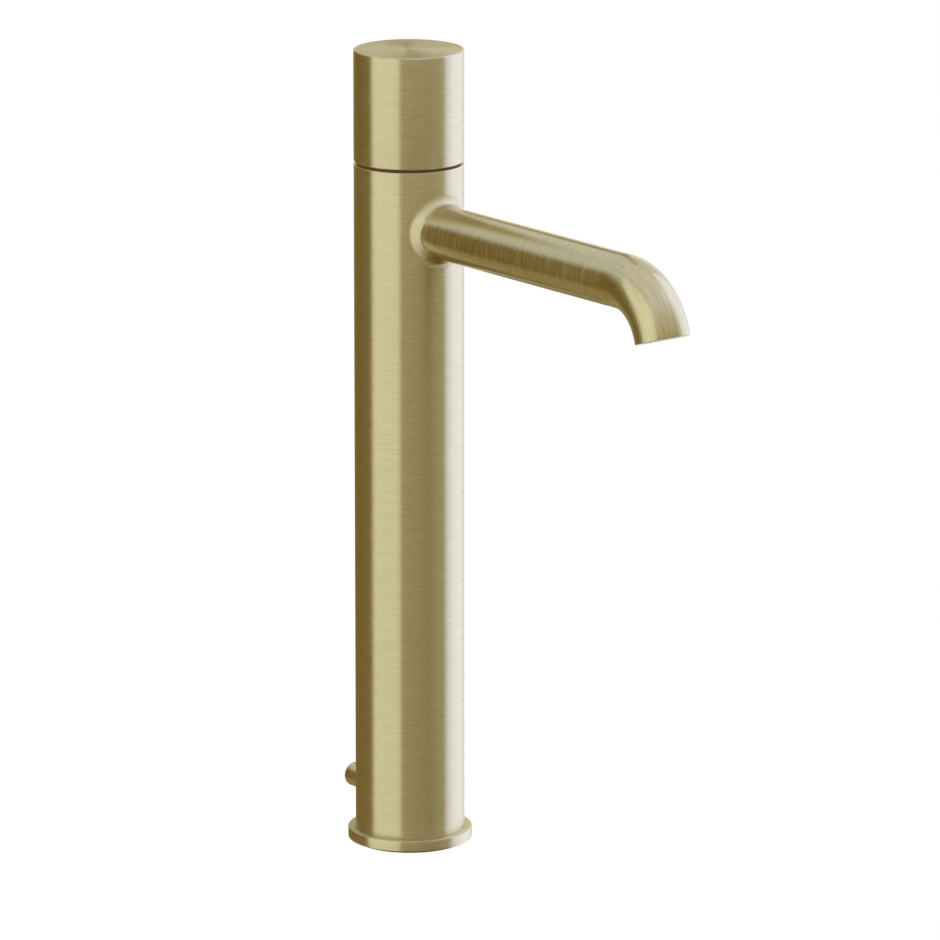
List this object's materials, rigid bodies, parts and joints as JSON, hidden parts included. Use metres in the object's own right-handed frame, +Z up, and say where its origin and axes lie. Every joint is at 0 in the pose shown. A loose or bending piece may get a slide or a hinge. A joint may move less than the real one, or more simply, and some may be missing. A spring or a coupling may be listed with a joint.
{
  "type": "bathroom mixer faucet",
  "caption": "Tall single-hole basin mixer with a turning cylindrical top handle, a horizontal tube spout bent down at its end and a rear waste knob.",
  "frame": {"origin": "centre of the single deck hole at the deck surface, where the gasket's lower face lies", "axes": "+Z up along the column, -Y along the spout, +Y towards the waste knob"},
  "size_m": [0.0514, 0.2171, 0.332],
  "materials": {
    "brushed_gold": "satin brushed pale gold",
    "raw_brass": "turned",
    "steel": "bright",
    "rubber": "matte",
    "grey_plastic": "moulded",
    "white_plastic": "moulded",
    "bronze_plastic": "moulded",
    "ceramic": "lapped"
  },
  "bodies": {
    "root": {"base_gasket": "rubber", "base_ring": "brushed_gold", "foot_insert": "raw_brass", "body_column": "brushed_gold", "spout": "brushed_gold", "spout_fillet": "brushed_gold", "aerator_housing": "grey_plastic", "aerator_core": "white_plastic", "aerator_seal": "rubber", "inlet_pipe_cold": "raw_brass", "inlet_pipe_hot": "raw_brass", "pipe_seals": "rubber", "valve_body": "raw_brass", "valve_seals": "rubber", "cartridge_base": "grey_plastic", "cartridge_seals": "rubber", "fixed_disc": "ceramic", "cartridge_housing": "grey_plastic", "cartridge_nut": "raw_brass", "glide_ring": "bronze_plastic", "knob_bush": "bronze_plastic", "crank_bracket": "steel", "bracket_screws": "steel", "crank_pin": "steel"},
    "handle": {"moving_disc": "ceramic", "spindle": "raw_brass", "handle_carrier": "grey_plastic", "handle_grub_screw": "steel", "handle_shell": "brushed_gold"},
    "pull_knob": {"waste_knob": "brushed_gold", "knob_rod": "raw_brass", "knob_rod_pin": "steel"},
    "crank": {"bell_crank": "raw_brass"},
    "lift": {"lift_rod": "raw_brass", "lift_rod_pin": "steel"}
  },
  "joints": [
    {"name": "handle_turn", "type": "hinge", "parent": "root", "child": "handle", "pos_m": [0, 0, 0.3], "axis": [0, 0, 1], "range_deg": [0, 105]},
    {"name": "knob_pull", "type": "slide", "parent": "root", "child": "pull_knob", "axis": [0, 1, 0], "range_m": [0, 0.01]},
    {"name": "crank_turn", "type": "hinge", "parent": "root", "child": "crank", "pos_m": [0, 0.003, 0.0286], "axis": [1, 0, 0], "range_deg": [0, 53.2]},
    {"name": "rod_lift", "type": "slide", "parent": "root", "child": "lift", "axis": [0, 0, 1], "range_m": [0, 0.01]}
  ],
  "couplings": [
    {"joint": "crank_turn", "follows": "knob_pull", "rad_per_m": 92.73},
    {"joint": "rod_lift", "follows": "knob_pull", "ratio": 1}
  ]
}
